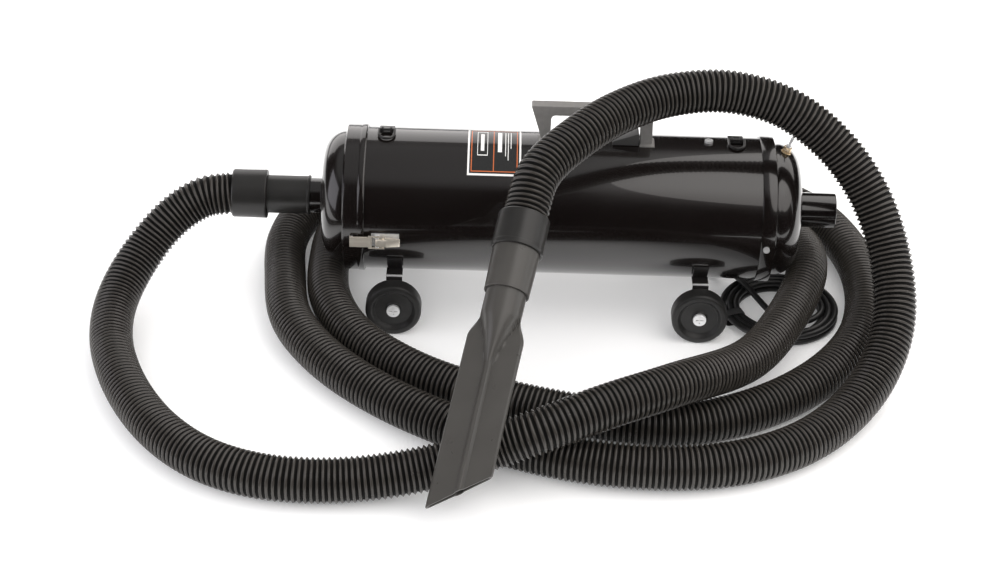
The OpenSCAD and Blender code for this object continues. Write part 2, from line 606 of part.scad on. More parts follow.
// one ring of the nozzle: a circle that turns into a flat blade with a ridge as w goes to 1
function nozzle_ring(s, w, half, mid, edge, r, slant) = [for (k = [0:23])
    let (c = cos(15 * k), d = sin(15 * k),
        t = (edge + (mid - edge) * (1 - abs(c))) * (d == 0 ? 0 : sign(d)) * min(1, 2.4 * abs(d)),
        y = (1 - w) * r * c + w * half * c)
    [(1 - w) * r * d + w * t, y, s - slant * y]];
module crevice_nozzle() color([0.2, 0.2, 0.2]) {
    outer = [nozzle_ring(neck_start, 0, 0, 0, 0, 20, 0), nozzle_ring(108, 0, 0, 0, 0, 20, 0),
        nozzle_ring(117, 0.35, 28, 11, 4.5, 20, 0), nozzle_ring(126, 0.75, 28, 11, 4.5, 20, 0),
        nozzle_ring(blade_start, 1, 28, 11, 4.5, 20, 0),
        nozzle_ring(188, 1, 28, 10, 4.2, 20, 0.3), nozzle_ring(289, 1, 28, 7, 3.6, 20, 0.75)];
    inner = [nozzle_ring(neck_start, 0, 0, 0, 0, 16, 0), nozzle_ring(108, 0, 0, 0, 0, 16, 0),
        nozzle_ring(117, 0.35, 25, 8, 2.6, 16, 0), nozzle_ring(126, 0.75, 25, 8, 2.6, 16, 0),
        nozzle_ring(blade_start, 1, 25, 8, 2.6, 16, 0),
        nozzle_ring(188, 1, 25, 7, 2.4, 16, 0.3), nozzle_ring(289, 1, 25, 4.2, 2.2, 16, 0.75)];
    m = len(outer);
    h = m * 24;
    walls = [for (i = [0:m - 2], k = [0:23]) let (a = i * 24 + k, b = i * 24 + (k + 1) % 24) each
        [[a, b, b + 24, a + 24], [h + a + 24, h + b + 24, h + b, h + a]]];
    ends = [for (k = [0:23]) let (b = (k + 1) % 24, e = (m - 1) * 24) each
        [[k, h + k, h + b, b], [e + k, e + b, h + e + b, h + e + k]]];
    on_nozzle(0) polyhedron(points = [for (g = [outer, inner], q = g) each q],
        faces = concat(walls, ends));
}

casing();
intake_cap();
exhaust_cap();
cap_gaskets();
inlet_tube();
outlet_tube();
filter_bag();
motor_mounts();
mount_plate();
rear_support();
fan_shell();
impeller_first();
impeller_second();
diffuser_plate();
fan_back_plate();
motor_frame();
stator_core();
field_coils();
armature();
commutator();
motor_shaft();
shaft_bearings();
brush_holders();
carbon_brushes();
through_bolts();
handle();
handle_fairing();
handle_screws();
switch_body();
switch_nut();
switch_lever();
strap_brackets();
strap_ring_left();
strap_ring_right();
latch_bases();
latch_keepers();
latch_front_lever();
latch_front_bail();
latch_rear_lever();
latch_rear_bail();
wheel_brackets();
wheel_front_left();
wheel_front_right();
wheel_rear_left();
wheel_rear_right();
axle_screws();
casing_screws();
label_plate();
strain_relief();
cord_lead();
cord_coil();
cord_tail();
plug_body();
plug_blades();
hose_adapter();
hose_cuff();
hose();
nozzle_cuff();
nozzle_adapter();
crevice_nozzle();
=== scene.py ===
# Pet dryer: Blender pieces, materials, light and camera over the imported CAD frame.
# Everything is in metres, in the frame of the CAD row: X along the canister, Z up, floor z = 0.
import json
import math

import bmesh
import bpy
from mathutils import Matrix, Vector

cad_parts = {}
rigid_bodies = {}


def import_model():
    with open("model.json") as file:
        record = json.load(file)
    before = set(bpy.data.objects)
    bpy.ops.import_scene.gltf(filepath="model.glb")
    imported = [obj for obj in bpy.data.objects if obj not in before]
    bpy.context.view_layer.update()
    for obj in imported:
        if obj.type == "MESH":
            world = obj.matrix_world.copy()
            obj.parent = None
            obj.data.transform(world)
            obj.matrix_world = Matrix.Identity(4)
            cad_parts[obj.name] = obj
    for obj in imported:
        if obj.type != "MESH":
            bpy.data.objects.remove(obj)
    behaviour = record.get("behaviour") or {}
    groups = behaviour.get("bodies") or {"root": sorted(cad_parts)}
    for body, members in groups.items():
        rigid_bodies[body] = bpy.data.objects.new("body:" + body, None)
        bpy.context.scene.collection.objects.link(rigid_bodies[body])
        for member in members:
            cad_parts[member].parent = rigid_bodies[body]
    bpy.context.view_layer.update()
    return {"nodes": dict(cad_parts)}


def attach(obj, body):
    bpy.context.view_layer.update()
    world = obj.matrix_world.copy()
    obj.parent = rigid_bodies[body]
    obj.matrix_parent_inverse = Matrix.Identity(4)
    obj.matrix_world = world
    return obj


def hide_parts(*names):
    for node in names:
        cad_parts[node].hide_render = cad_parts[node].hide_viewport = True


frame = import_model()
nodes = frame["nodes"]
scene = bpy.context.scene
MM = 0.001
AXIS_H = 0.114
CASING_R = 0.076


# ---------------------------------------------------------------- camera
def look():
    pitch, yaw, roll = math.radians(32.37), math.radians(0.382), math.radians(1.899)
    fwd = Vector((math.sin(yaw) * math.cos(pitch), math.cos(yaw) * math.cos(pitch), -math.sin(pitch)))
    right = Vector((math.cos(yaw), -math.sin(yaw), 0))
    up = right.cross(fwd)
    r = math.cos(roll) * right + math.sin(roll) * up
    u = -math.sin(roll) * right + math.cos(roll) * up
    m = Matrix((r, u, -fwd)).transposed().to_4x4()
    m.translation = Vector((-0.0743, -2.2062, 1.4100))
    return m


cam_data = bpy.data.cameras.new("view_camera")
cam_data.sensor_width = 36
cam_data.lens = 85.97
cam = bpy.data.objects.new("view_camera", cam_data)
scene.collection.objects.link(cam)
cam.matrix_world = look()
scene.camera = cam


# ---------------------------------------------------------------- mesh helpers
def new_object(name, verts, faces, material, body="canister", smooth=True, angle=None):
    me = bpy.data.meshes.new(name)
    me.from_pydata([tuple(v) for v in verts], [], faces)
    me.validate()
    bm = bmesh.new()
    bm.from_mesh(me)
    bmesh.ops.recalc_face_normals(bm, faces=bm.faces)
    if smooth:
        for f in bm.faces:
            f.smooth = True
        if angle is not None:
            limit = math.radians(angle)
            for e in bm.edges:
                if len(e.link_faces) == 2 and e.calc_face_angle(0) > limit:
                    e.smooth = False
    bm.to_mesh(me)
    bm.free()
    ob = bpy.data.objects.new(name, me)
    scene.collection.objects.link(ob)
    for m in material if isinstance(material, (list, tuple)) else [material]:
        me.materials.append(m)
    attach(ob, body)
    return ob


def rounded(profile, radii, steps=5):
    """A polyline with each corner rounded; radii in the same units, one per point."""
    out = []
    n = len(profile)
    for i, p in enumerate(profile):
        r = radii[i]
        if r <= 0 or i == 0 or i == n - 1:
            out.append(tuple(p))
            continue
        p = Vector(p)
        a, b = Vector(profile[i - 1]) - p, Vector(profile[i + 1]) - p
        la, lb = a.length, b.length
        a.normalize()
        b.normalize()
        ang = a.angle(b)
        if ang > math.radians(176):
            out.append(tuple(p))
            continue
        d = min(r / math.tan(ang / 2), la * 0.49, lb * 0.49)
        s, e = p + a * d, p + b * d
        for k in range(steps + 1):
            t = k / steps
            q = s * (1 - t) ** 2 + p * 2 * t * (1 - t) + e * t * t
            out.append(tuple(q))
    return out


def lathe(name, profile, material, place, body="canister", seg=160, closed=True, angle=32, radii=None,
          wobble=None):
    """Turns a profile of (r, z) in mm round Z and places it; a closed profile is a solid of revolution."""
    if radii is not None:
        profile = rounded(profile, radii)
    pts = [(r * MM, z * MM) for r, z in profile]
    n = len(pts)
    verts = []
    for i in range(seg):
        a = 2 * math.pi * i / seg
        for r, z in pts:
            verts.append(place @ Vector((r * math.cos(a), r * math.sin(a), z)))
    faces = []
    last = n if closed else n - 1
    for i in range(seg):
        j = (i + 1) % seg
        for k in range(last):
            l = (k + 1) % n
            faces.append((i * n + k, j * n + k, j * n + l, i * n + l))
    return new_object(name, verts, faces, material, body, angle=angle)


def slab(name, outline, thick, material, place, body="canister", bevel=0.0, segments=3, angle=35):
    """Extrudes an outline of (x, y) in mm by thick along Z, with rounded edges."""
    bm = bmesh.new()
    vs = [bm.verts.new((x * MM, y * MM, 0)) for x, y in outline]
    f = bm.faces.new(vs)
    ext = bmesh.ops.extrude_face_region(bm, geom=[f])
    moved = [e for e in ext["geom"] if isinstance(e, bmesh.types.BMVert)]
    bmesh.ops.translate(bm, verts=moved, vec=(0, 0, thick * MM))
    bmesh.ops.recalc_face_normals(bm, faces=bm.faces)
    if bevel:
        edges = [e for e in bm.edges if len(e.link_faces) == 2 and e.calc_face_angle(0) > math.radians(20)]
        bmesh.ops.bevel(bm, geom=edges, offset=bevel * MM, segments=segments, profile=0.5,
                        affect="EDGES", clamp_overlap=True)
    bm.transform(place)
    me = bpy.data.meshes.new(name)
    for f in bm.faces:
        f.smooth = True
    for e in bm.edges:
        if len(e.link_faces) == 2 and e.calc_face_angle(0) > math.radians(angle):
            e.smooth = False
    bm.to_mesh(me)
    bm.free()
    ob = bpy.data.objects.new(name, me)
    scene.collection.objects.link(ob)
    me.materials.append(material)
    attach(ob, body)
    return ob


def place_axes(origin, x, y, z):
    m = Matrix((Vector(x), Vector(y), Vector(z))).transposed().to_4x4()
    m.translation = Vector(origin)
    return m


def along_x(x):
    """Local Z runs along the canister."""
    return place_axes((x * MM, 0, AXIS_H), (0, 0, -1), (0, 1, 0), (1, 0, 0))


def outward(x, deg, r=CASING_R):
    """Local Z points straight out of the canister at that angle round it; local X is the row's X."""
    a = math.radians(deg)
    out = Vector((0, math.cos(a), math.sin(a)))
    o = Vector((x * MM, 0, AXIS_H)) + out * r
    return place_axes(o, (1, 0, 0), (0, math.sin(a), -math.cos(a)), out)


def smooth_path(points, step):
    """Catmull-Rom curve through the points, resampled at an even step."""
    p = [Vector(q) for q in points]
    p = [2 * p[0] - p[1]] + p + [2 * p[-1] - p[-2]]
    fine = []
    for i in range(1, len(p) - 2):
        a, b, c, d = p[i - 1], p[i], p[i + 1], p[i + 2]
        t0 = 0.0
        t1 = t0 + (b - a).length ** 0.5
        t2 = t1 + (c - b).length ** 0.5
        t3 = t2 + (d - c).length ** 0.5
        for k in range(16):
            t = t1 + (t2 - t1) * k / 16
            a1 = a * ((t1 - t) / (t1 - t0)) + b * ((t - t0) / (t1 - t0))
            a2 = b * ((t2 - t) / (t2 - t1)) + c * ((t - t1) / (t2 - t1))
            a3 = c * ((t3 - t) / (t3 - t2)) + d * ((t - t2) / (t3 - t2))
            b1 = a1 * ((t2 - t) / (t2 - t0)) + a2 * ((t - t0) / (t2 - t0))
            b2 = a2 * ((t3 - t) / (t3 - t1)) + a3 * ((t - t1) / (t3 - t1))
            fine.append(b1 * ((t2 - t) / (t2 - t1)) + b2 * ((t - t1) / (t2 - t1)))
    fine.append(p[-2])
    total = sum((fine[i + 1] - fine[i]).length for i in range(len(fine) - 1))
    count = max(2, round(total / step))
    out, i, run = [fine[0]], 0, 0.0
    for k in range(1, count):
        want = total * k / count
        while run + (fine[i + 1] - fine[i]).length < want:
            run += (fine[i + 1] - fine[i]).length
            i += 1
        seg = (fine[i + 1] - fine[i]).length
        out.append(fine[i].lerp(fine[i + 1], (want - run) / seg))
    out.append(fine[-1])
    return out, total


def frames_along(pts, first=None, last=None):
    """Rotation-minimising axes at each point of a path."""
    n = len(pts)
    t = [(pts[min(i + 1, n - 1)] - pts[max(i - 1, 0)]).normalized() for i in range(n)]
    if first is not None:
        t[0] = Vector(first).normalized()
    if last is not None:
        t[-1] = Vector(last).normalized()
    u = t[0].cross(Vector((0, 0, 1)))
    if u.length < 1e-6:
        u = Vector((1, 0, 0))
    u.normalize()
    out = []
    for i in range(n):
        u = (u - t[i] * u.dot(t[i])).normalized()
        out.append((t[i], u, t[i].cross(u)))
    return out


# ---------------------------------------------------------------- materials
def material(name, color, rough, metal=0.0, coat=0.0, coat_rough=0.03, grain=0.0, grain_scale=400.0,
             mottle=0.0, mottle_scale=30.0, rough_var=0.0, spec=0.5, stretch=(1, 1, 1), dust=0.0,
             sheen=0.0):
    m = bpy.data.materials.new(name)
    m.use_nodes = True
    nt = m.node_tree
    b = nt.nodes["Principled BSDF"]
    b.inputs["Base Color"].default_value = (*color, 1)
    b.inputs["Roughness"].default_value = rough
    b.inputs["Metallic"].default_value = metal
    b.inputs["Coat Weight"].default_value = coat
    b.inputs["Coat Roughness"].default_value = coat_rough
    b.inputs["Specular IOR Level"].default_value = spec
    b.inputs["Sheen Weight"].default_value = sheen
    co = nt.nodes.new("ShaderNodeTexCoord")
    mp = nt.nodes.new("ShaderNodeMapping")
    mp.inputs["Scale"].default_value = stretch
    nt.links.new(co.outputs["Object"], mp.inputs["Vector"])
    big = nt.nodes.new("ShaderNodeTexNoise")
    big.inputs["Scale"].default_value = mottle_scale
    big.inputs["Detail"].default_value = 4
    nt.links.new(mp.outputs["Vector"], big.inputs["Vector"])
    fine = nt.nodes.new("ShaderNodeTexNoise")
    fine.inputs["Scale"].default_value = grain_scale
    fine.inputs["Detail"].default_value = 5
    fine.inputs["Roughness"].default_value = 0.6
    nt.links.new(mp.outputs["Vector"], fine.inputs["Vector"])
    if mottle:
        ramp = nt.nodes.new("ShaderNodeMix")
        ramp.data_type = "RGBA"
        lo = tuple(c * (1 - mottle) for c in color)
        hi = tuple(min(1, c * (1 + mottle) + dust) for c in color)
        ramp.inputs["A"].default_value = (*lo, 1)
        ramp.inputs["B"].default_value = (*hi, 1)
        nt.links.new(big.outputs["Fac"], ramp.inputs["Factor"])
        nt.links.new(ramp.outputs["Result"], b.inputs["Base Color"])
    if rough_var:
        mr = nt.nodes.new("ShaderNodeMapRange")
        mr.inputs["To Min"].default_value = max(0.02, rough - rough_var)
        mr.inputs["To Max"].default_value = min(1, rough + rough_var)
        nt.links.new(big.outputs["Fac"], mr.inputs["Value"])
        nt.links.new(mr.outputs["Result"], b.inputs["Roughness"])
    if grain:
        bump = nt.nodes.new("ShaderNodeBump")
        bump.inputs["Strength"].default_value = grain
        bump.inputs["Distance"].default_value = 0.0004
        nt.links.new(fine.outputs["Fac"], bump.inputs["Height"])
        nt.links.new(bump.outputs["Normal"], b.inputs["Normal"])
    return m


M = {
    "enamel": material("black_enamel", (0.005, 0.0034, 0.003), 0.22, coat=1.0, coat_rough=0.015, rough_var=0.05,
                       mottle=0.1, mottle_scale=14, grain=0.012, grain_scale=260, spec=0.5),
    "satin_black": material("satin_black_steel", (0.014, 0.013, 0.013), 0.3, coat=0.4, coat_rough=0.12,
                            grain=0.06, grain_scale=900, rough_var=0.08),
    "cast": material("cast_handle", (0.23, 0.222, 0.212), 0.52, metal=0.35, grain=0.6, grain_scale=900,
                     mottle=0.18, mottle_scale=160, rough_var=0.1),
    "fairing": material("fairing_plastic", (0.045, 0.044, 0.043), 0.4, grain=0.2, grain_scale=1500,
                        mottle=0.15, rough_var=0.08),
    "charcoal": material("charcoal_plastic", (0.016, 0.0152, 0.0142), 0.33, grain=0.14, grain_scale=1700,
                         mottle=0.12, mottle_scale=60, rough_var=0.09, spec=0.5),
    "nozzle": material("nozzle_plastic", (0.05, 0.047, 0.043), 0.3, grain=0.12, grain_scale=1600,
                       mottle=0.12, mottle_scale=40, rough_var=0.08, spec=0.5),
    "hose": material("hose_vinyl", (0.036, 0.032, 0.028), 0.24, grain=0.06, grain_scale=1500, mottle=0.25,
                     mottle_scale=90, rough_var=0.1, spec=0.5),
    # near-black second hose material for the rib valleys: painted shade in the grooves
    "painted_groove_shade": material("hose_painted_groove_shade", (0.002, 0.0018, 0.0016), 0.7, grain=0.1, grain_scale=1500, mottle=0.2,
                       mottle_scale=90, spec=0.2),
    "hose_in": material("hose_bore", (0.01, 0.01, 0.01), 0.6, grain=0.1, grain_scale=900, mottle=0.2),
    "wheel": material("wheel_rubber", (0.013, 0.0125, 0.012), 0.42, grain=0.2, grain_scale=1300, mottle=0.25,
                      mottle_scale=120, rough_var=0.12),
    "cord": material("cord_rubber", (0.012, 0.012, 0.012), 0.36, grain=0.12, grain_scale=1800, mottle=0.2,
                     mottle_scale=70, rough_var=0.08),
    "gasket": material("gasket_rubber", (0.03, 0.03, 0.03), 0.7, grain=0.3, grain_scale=900, mottle=0.2),
    "nickel": material("bright_nickel", (0.96, 0.88, 0.76), 0.24, metal=0.72, grain=0.05, grain_scale=900,
                       mottle=0.06, rough_var=0.06),
    "zinc": material("zinc_steel", (0.95, 0.95, 0.95), 0.34, metal=0.7, grain=0.12, grain_scale=1500,
                     mottle=0.1, mottle_scale=300, rough_var=0.1),
    "brass": material("brass", (0.86, 0.68, 0.45), 0.25, metal=0.7, grain=0.08, grain_scale=1200, mottle=0.08),
    "chrome": material("chrome", (0.95, 0.95, 0.95), 0.2, metal=0.45, grain=0.02, grain_scale=800, mottle=0.04),
    "aluminium": material("formed_aluminium", (0.72, 0.72, 0.74), 0.35, metal=1.0, grain=0.15,
                          grain_scale=900, mottle=0.08, rough_var=0.08, stretch=(1, 1, 6)),
    "core": material("core_steel", (0.33, 0.34, 0.36), 0.45, metal=1.0, grain=0.5, grain_scale=500,
                     mottle=0.12, stretch=(8, 1, 1)),
    "copper": material("copper_winding", (0.68, 0.28, 0.12), 0.35, metal=0.8, grain=0.6, grain_scale=500,
                       mottle=0.25, mottle_scale=200),
    "carbon": material("carbon", (0.03, 0.03, 0.033), 0.6, grain=0.3, grain_scale=1500, mottle=0.2),
    "cloth": material("filter_cloth", (0.76, 0.75, 0.70), 0.9, grain=0.9, grain_scale=1400, mottle=0.1,
                      mottle_scale=60, sheen=0.3),
    "label_black": material("label_black", (0.012, 0.012, 0.012), 0.2, coat=0.6, coat_rough=0.05,
                            grain=0.02, grain_scale=600, mottle=0.1),
    "label_white": material("label_white", (0.82, 0.81, 0.79), 0.25, coat=0.5, coat_rough=0.06,
                            grain=0.02, grain_scale=600, mottle=0.04),
    "label_orange": material("label_orange", (0.55, 0.13, 0.035), 0.25, coat=0.5, coat_rough=0.06,
                             grain=0.02, grain_scale=600, mottle=0.06),
}
NODE_MATERIAL = {
    "cap_gaskets": "gasket", "filter_bag": "cloth", "motor_mounts": "gasket", "mount_plate": "zinc",
    "rear_support": "zinc", "fan_shell": "aluminium", "impeller_first": "aluminium",
    "impeller_second": "aluminium", "diffuser_plate": "aluminium", "fan_back_plate": "aluminium",
    "motor_frame": "aluminium", "stator_core": "core", "field_coils": "copper", "armature": "copper",
    "commutator": "copper", "motor_shaft": "zinc", "shaft_bearings": "zinc", "brush_holders": "brass",
    "carbon_brushes": "carbon", "through_bolts": "zinc", "handle_screws": "zinc", "switch_body": "zinc",
    "switch_nut": "brass", "switch_lever": "chrome", "strap_brackets": "satin_black",
    "strap_ring_left": "satin_black", "strap_ring_right": "satin_black", "latch_bases": "zinc",
    "latch_keepers": "zinc", "wheel_brackets": "satin_black", "axle_screws": "zinc",
    "casing_screws": "zinc", "plug_blades": "zinc", "plug_body": "cord", "strain_relief": "cord",
}
for n, key in NODE_MATERIAL.items():
    ob = nodes[n]
    if ob.material_slots:
        for s in ob.material_slots:
            s.material = M[key]
    else:
        ob.data.materials.append(M[key])

# ---------------------------------------------------------------- corrugated hose
HOSE_ROUTE = [
    (-348, 0, 114), (-379, -3, 109), (-411, -15, 91), (-443, -43, 60), (-463, -91, 34), (-461, -154, 23.6),
    (-433, -239, 22.6), (-389, -311, 22.6), (-339, -356, 22.6), (-279, -379, 22.6), (-202, -381, 23.6),
    (-112, -367, 34), (-60, -355, 50), (-16, -348, 65), (44, -321, 75), (111, -279, 73), (197, -188, 47),
    (252, -74, 38.5), (273, -4, 39), (273, 54, 34), (247, 112, 24), (198, 149, 22.6), (120, 160, 22.6),
    (-28, 160, 22.6), (-138, 152, 22.6), (-204, 130, 22.6), (-240, 80, 22.6), (-247, 18, 22.6),
    (-241, -58, 22.6), (-212, -128, 22.6), (-160, -184, 22.6), (-92, -226, 22.6), (25, -264, 22.6),
    (105, -275, 22.6), (168, -260, 22.6), (231, -222, 22.6), (286, -165, 22.6), (322, -98, 22.6),
    (337, -12, 22.6), (328, 70, 22.6), (300, 138, 22.6), (250, 186, 22.6), (183, 208, 22.6), (70, 212, 22.6),
    (-80, 210, 22.6), (-176, 196, 22.6), (-239, 165, 22.6), (-280, 117, 22.6), (-296, 58, 22.6),
    (-293, -15, 22.6), (-278, -104, 22.6), (-234, -180, 22.6), (-168, -245, 22.6), (-83, -299, 22.6),
    (13, -336, 22.6), (105, -346, 22.6), (177, -334, 22.6), (238, -302, 22.6), (291, -249, 26), (328, -194, 42),
    (346, -147, 73), (343, -101, 117), (321, -63, 169), (280, -36, 216), (229, -23, 249), (169, -20, 264),
    (108, -32, 264), (58, -62, 260), (14, -106, 253), (-25, -154, 237), (-38.8, -193.6, 209.2)]
NOZZLE_TOP = Vector((-0.0388, -0.1936, 0.2092))
heading, slope = math.radians(-103.5), math.radians(34.5)
NOZZLE_DIR = Vector((math.cos(slope) * math.cos(heading), math.cos(slope) * math.sin(heading),
                     -math.sin(slope)))
NOZZLE_WIDE = Vector((-math.sin(heading), math.cos(heading), 0))
NOZZLE_UP = NOZZLE_WIDE.cross(NOZZLE_DIR)


def on_nozzle(s):
    """Local Z runs down the nozzle, local Y across it, local X is its underside."""
    return place_axes(NOZZLE_TOP + NOZZLE_DIR * (s * MM), NOZZLE_UP, NOZZLE_WIDE, NOZZLE_DIR)


RIB = 0.0056
RIB_SHAPE = (19.9, 20.0, 21.1, 22.5, 22.45, 21.2)
hose_line, hose_length = smooth_path([[c * MM for c in p] for p in HOSE_ROUTE], RIB / len(RIB_SHAPE))
hose_line = [Vector((p.x, p.y, max(p.z, 0.0226))) for p in hose_line]
axes = frames_along(hose_line, (-1, 0, 0), NOZZLE_DIR)
SIDES = 28
verts, faces = [], []
for i, (p, (t, u, v)) in enumerate(zip(hose_line, axes)):
    r = RIB_SHAPE[i % len(RIB_SHAPE)] * MM
    for k in range(SIDES):
        a = 2 * math.pi * k / SIDES
        verts.append(p + r * (math.cos(a) * u + math.sin(a) * v))
for i in range(len(hose_line) - 1):
    for k in range(SIDES):
        l = (k + 1) % SIDES
        faces.append((i * SIDES + k, i * SIDES + l, (i + 1) * SIDES + l, (i + 1) * SIDES + k))
faces.append(tuple(range(SIDES - 1, -1, -1)))
faces.append(tuple((len(hose_line) - 1) * SIDES + k for k in range(SIDES)))
hose = new_object("ribbed_hose", verts, faces, M["hose"], angle=80)
# the valley faces of each rib take the near-black second material: painted shade in the grooves between ribs
hose.data.materials.append(M["painted_groove_shade"])
for i, p in enumerate(hose.data.polygons):
    if i < (len(hose_line) - 1) * SIDES and (i // SIDES) % len(RIB_SHAPE) in (0, 1, 5):
        p.material_index = 1
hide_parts("hose")

# cuff and adapter at the inlet
adapter = lathe("inlet_adapter", [(18.6, -311), (20.2, -311), (20.35, -269), (20.4, -268), (21.2, -267.4),
                (21.2, -265.2), (18.7, -265)], M["charcoal"], along_x(0),
                radii=[0, 0.3, 0, 0.3, 0.6, 0.6, 0])
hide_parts("hose_adapter")
cuff = lathe("inlet_cuff", [(20.45, -311), (25.7, -311.2), (25.9, -313), (25.8, -315), (25.6, -332), (25.6, -334),
             (25.6, -346.5), (24.6, -348), (17.0, -348), (17.0, -325), (20.45, -325)], M["charcoal"],
             along_x(0), radii=[0, 0.8, 0.5, 0.5, 0.4, 0.4, 0.9, 0.4, 0.3, 0, 0])
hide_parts("hose_cuff")

# cuff, adapter and blade of the nozzle
cuff_low = lathe("nozzle_cuff_piece", [(17, 0), (25.2, 0), (25.9, 1.2), (25.7, 20), (25.7, 32.5), (25.9, 33),
                 (25.9, 37.4), (25.3, 38), (24.05, 38), (24.05, 22), (17, 22)], M["charcoal"],
                 on_nozzle(0), radii=[0, 0.5, 0.5, 0, 0.5, 0.5, 0.8, 0.4, 0, 0, 0])
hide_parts("nozzle_cuff")
reducer = lathe("nozzle_adapter_piece", [(17, 22.5), (23.9, 22.5), (23.5, 38.4), (23.4, 42.5), (22.4, 81.4),
                (22.4, 82.2), (22.3, 82.7), (21.9, 83), (20.15, 83), (20.15, 48.2), (17, 48.2)],
                M["nozzle"], on_nozzle(0), radii=[0, 0.4, 0, 0.4, 0.4, 0, 0, 0.3, 0.2, 0, 0])
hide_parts("nozzle_adapter")


def blade_ring(s, half, mid, edge, thin, slant, n=128):
    """A round neck that sinks as a cone into a flat blade and runs on down it as a narrow ridge."""
    t = min(1.0, max(0.0, (s - 108) / 25))
    cone = min(1.0, max(0.0, (s - 108) / 56))
    wide = 20 - thin + (half - 20 + thin) * ease(t)
    cone_r = (20 - thin) + (3.4 - 20 + thin) * cone ** 0.85
    cone_h = (20 - thin) + (mid - 20 + thin) * ease(cone)
    out = []
    for k in range(n):
        c, d = math.cos(2 * math.pi * k / n), math.sin(2 * math.pi * k / n)
        y = wide * c
        plate = (edge + (mid - edge) * 0.34 * (1 - abs(c))) * ease(t) * min(1.0, (2.6 * abs(d)) ** 0.8)
        rise = cone_h * math.sqrt(max(0.0, 1 - (y / cone_r) ** 2)) if abs(y) < cone_r else 0.0
        if cone >= 1:
            rise = mid * min(1.0, max(0.0, (4.6 - abs(y)) / 2.2)) if abs(y) < 4.6 else 0.0
        out.append((math.copysign(max(plate, rise), d) if abs(d) > 1e-9 else 0.0, y, s - slant * y))
    return out


def ease(t):
    return t * t * (3 - 2 * t)


stations = [(48.3, 11, 4.5, 0), (107.9, 11, 4.5, 0)]
stations += [(108 + 25 * k / 10, 11, 4.5, 0) for k in range(1, 11)]
stations += [(133 + 31 * k / 9, 10.9 - 0.03 * k, 4.4, 0.02 * k) for k in range(1, 9)]
stations += [(165, 10.5, 4.3, 0.18), (188, 9.9, 4.2, 0.3), (240, 8.4, 3.9, 0.52), (287.5, 7.0, 3.6, 0.75)]
n = 128
outer = [blade_ring(q, 28, mid, edge, 0, slant) for q, mid, edge, slant in stations]
outer.append(blade_ring(288.8, 27.4, 6.5, 3.2, 0, 0.75))
inner = [blade_ring(q, 25.6, mid - 2.2, edge - 1.9, 2.2, slant) for q, mid, edge, slant in stations]
inner.append(blade_ring(288.8, 25.6, 4.6, 1.7, 2.2, 0.75))
rings = outer + inner[::-1]
place = on_nozzle(0)
verts = [place @ Vector([c * MM for c in q]) for g in rings for q in g]
faces = []
for i in range(len(rings)):
    j = (i + 1) % len(rings)
    for k in range(n):
        l = (k + 1) % n
        faces.append((i * n + k, i * n + l, j * n + l, j * n + k))
blade = new_object("crevice_nozzle_piece", verts, faces, M["nozzle"], angle=30)
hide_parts("crevice_nozzle")

# ---------------------------------------------------------------- power cord
LEAD = [
    (70, 92.53, 70.85), (70, 101.53, 66.85), (71, 117, 63), (72, 124, 46), (74, 122, 28), (79, 113, 13),
    (88, 100, 5), (102, 86, 3.6), (122, 66, 3.6), (150, 52, 3.6), (174, 44, 3.6), (185, 37, 8), (194, 26, 15.5),
    (202, 11, 17.9), (213, -12, 17.9), (222, -31, 16), (234, -50, 13), (249, -66, 11)]
TAIL = [
    (239, 36, 3.6), (227, 37, 3.6), (216, 42, 4.5), (208, 50, 7), (205, 57, 9.5), (204, 61, 11)]
COIL_C = (243, -32)
CORD_R = 3.5
pts = [list(p) for p in LEAD]
start = math.atan2(LEAD[-1][1] - COIL_C[1], LEAD[-1][0] - COIL_C[0])
turns = [(46.5, 10.5), (46.5, 3.5), (53.5, 3.5), (53.5, 10.5), (60.5, 10.5), (60.5, 3.5)]
tail_angle = math.atan2(TAIL[0][1] - COIL_C[1], TAIL[0][0] - COIL_C[0])
per = 24
a0 = start + math.radians(14)
lead_r = math.hypot(LEAD[-1][0] - COIL_C[0], LEAD[-1][1] - COIL_C[1])
total_a = 2 * math.pi * len(turns)
end = a0 + total_a
while end > tail_angle + 2 * math.pi * len(turns) + 0.01:
    end -= 2 * math.pi
end = a0 + (tail_angle - a0) % (2 * math.pi) + 2 * math.pi * (len(turns) - 1)
steps = int((end - a0) / (2 * math.pi) * per)
for i in range(steps):
    a = a0 + (end - a0) * i / steps
    q = (a - a0) / (2 * math.pi)
    k = min(int(q), len(turns) - 1)
    f = q - k
    r, z = turns[k]
    if f > 0.8 and k + 1 < len(turns):
        e = ease((f - 0.8) / 0.2)
        r += (turns[k + 1][0] - r) * e
        z += (turns[k + 1][1] - z) * e
    if q < 0.2:
        r = lead_r + (r - lead_r) * ease((q + 0.04) / 0.24)
    if q > (end - a0) / (2 * math.pi) - 0.12:
        e = ease((q - (end - a0) / (2 * math.pi) + 0.12) / 0.12)
        r += (68 - r) * e
    pts.append([COIL_C[0] + r * math.cos(a), COIL_C[1] + r * math.sin(a), z])
pts += [list(p) for p in TAIL]
cord_line, cord_length = smooth_path([[c * MM for c in p] for p in pts], 0.004)
cord_line = [Vector((p.x, p.y, max(p.z, 0.00355))) for p in cord_line]
cord_length = sum((b - a).length for a, b in zip(cord_line, cord_line[1:]))
cu = bpy.data.curves.new("power_cord", "CURVE")
cu.dimensions = "3D"
cu.bevel_depth = CORD_R * MM
cu.bevel_resolution = 3
cu.use_fill_caps = True
sp = cu.splines.new("POLY")
sp.points.add(len(cord_line) - 1)
for q, p in zip(sp.points, cord_line):
    q.co = (*p, 1)
power_cord = bpy.data.objects.new("power_cord", cu)
scene.collection.objects.link(power_cord)
cu.materials.append(M["cord"])
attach(power_cord, "canister")
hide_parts("cord_lead", "cord_coil", "cord_tail")

